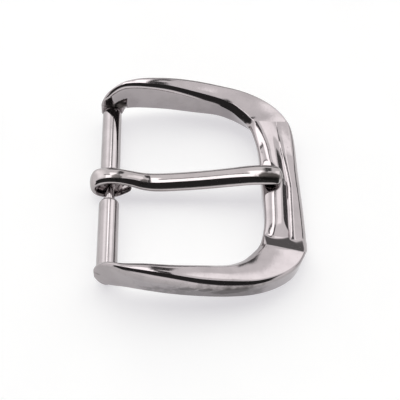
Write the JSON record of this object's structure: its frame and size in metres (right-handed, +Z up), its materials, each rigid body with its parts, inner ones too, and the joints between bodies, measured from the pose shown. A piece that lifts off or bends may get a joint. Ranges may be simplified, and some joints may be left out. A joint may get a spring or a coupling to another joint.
{
  "type": "belt buckle",
  "caption": "Single-prong belt buckle: a cast D-shaped frame, a strap bar between its lugs and a bent prong that turns on the bar and lies on the front bar.",
  "frame": {"origin": "middle of the footprint, on the surface that the buckle lies on", "axes": "+X toward the front bar, +Y along the strap bar, +Z up from the surface"},
  "size_m": [0.0414, 0.0504, 0.0096],
  "materials": {
    "frame": "polished, lightly orange-peeled dark nickel plate",
    "strap_bar": "polished dark nickel plate",
    "prong": "polished dark nickel plate with a flat dent"
  },
  "bodies": {
    "frame": {"frame": "frame", "strap_bar": "strap_bar"},
    "prong": {"prong": "prong"}
  },
  "joints": [
    {"name": "prong_hinge", "type": "hinge", "parent": "frame", "child": "prong", "pos_m": [-0.01687, 0.00115, 0.00248], "axis": [0, -1, 0], "range_deg": [0, 175]}
  ]
}
